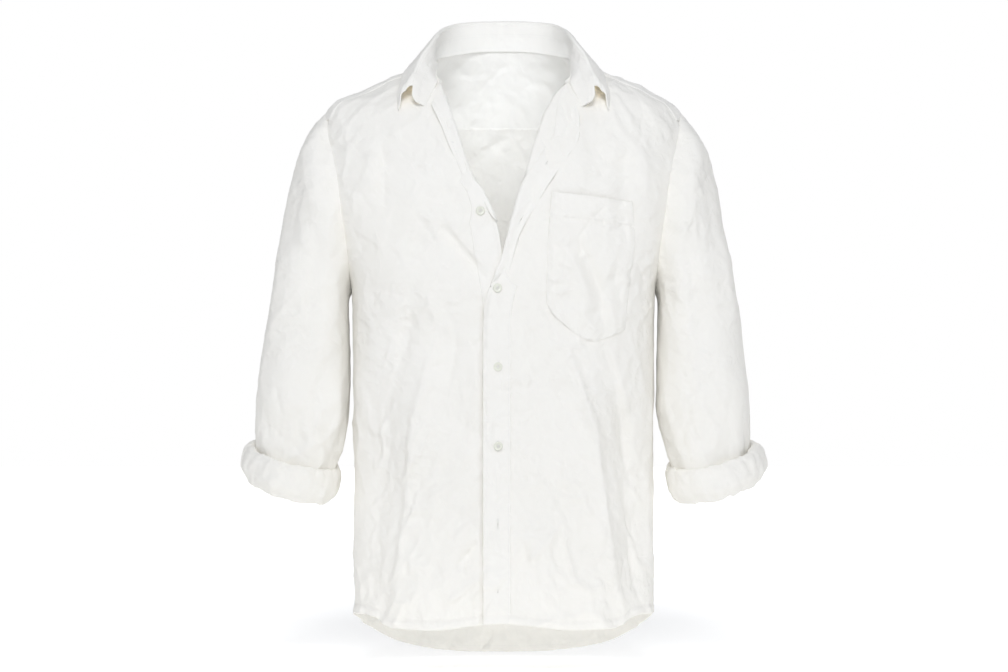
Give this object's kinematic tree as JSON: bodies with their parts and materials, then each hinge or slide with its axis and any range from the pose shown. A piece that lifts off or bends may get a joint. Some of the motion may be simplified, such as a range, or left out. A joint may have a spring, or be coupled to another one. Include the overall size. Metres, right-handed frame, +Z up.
{
  "type": "button-up shirt",
  "caption": "Button-up shirt filled out as when worn, with a stand collar open at the neck, a turned-back front, a chest patch pocket and rolled-up sleeves.",
  "frame": {"origin": "between the shoulders, on the centre plane, level with the shoulder line beside the neck, where a wearer's shoulders hold the shirt", "axes": "+Z up, -Y towards the front of the shirt, +X towards the wearer's left"},
  "size_m": [0.6828, 0.2395, 0.837],
  "materials": {
    "cloth": "washed plain weave, softly crumpled, matt",
    "button": "smooth, slightly pearly"
  },
  "bodies": {
    "root": {"back": "cloth", "yoke": "cloth", "front_right": "cloth", "front_left": "cloth", "button_band": "cloth", "buttonhole_placket": "cloth", "collar_stand": "cloth", "collar_leaf": "cloth", "pocket": "cloth", "sleeve_right": "cloth", "cuff_roll_right": "cloth", "sleeve_left": "cloth", "cuff_roll_left": "cloth", "button_1": "button", "button_2": "button", "button_3": "button", "button_4": "button", "button_5": "button"}
  },
  "joints": []
}
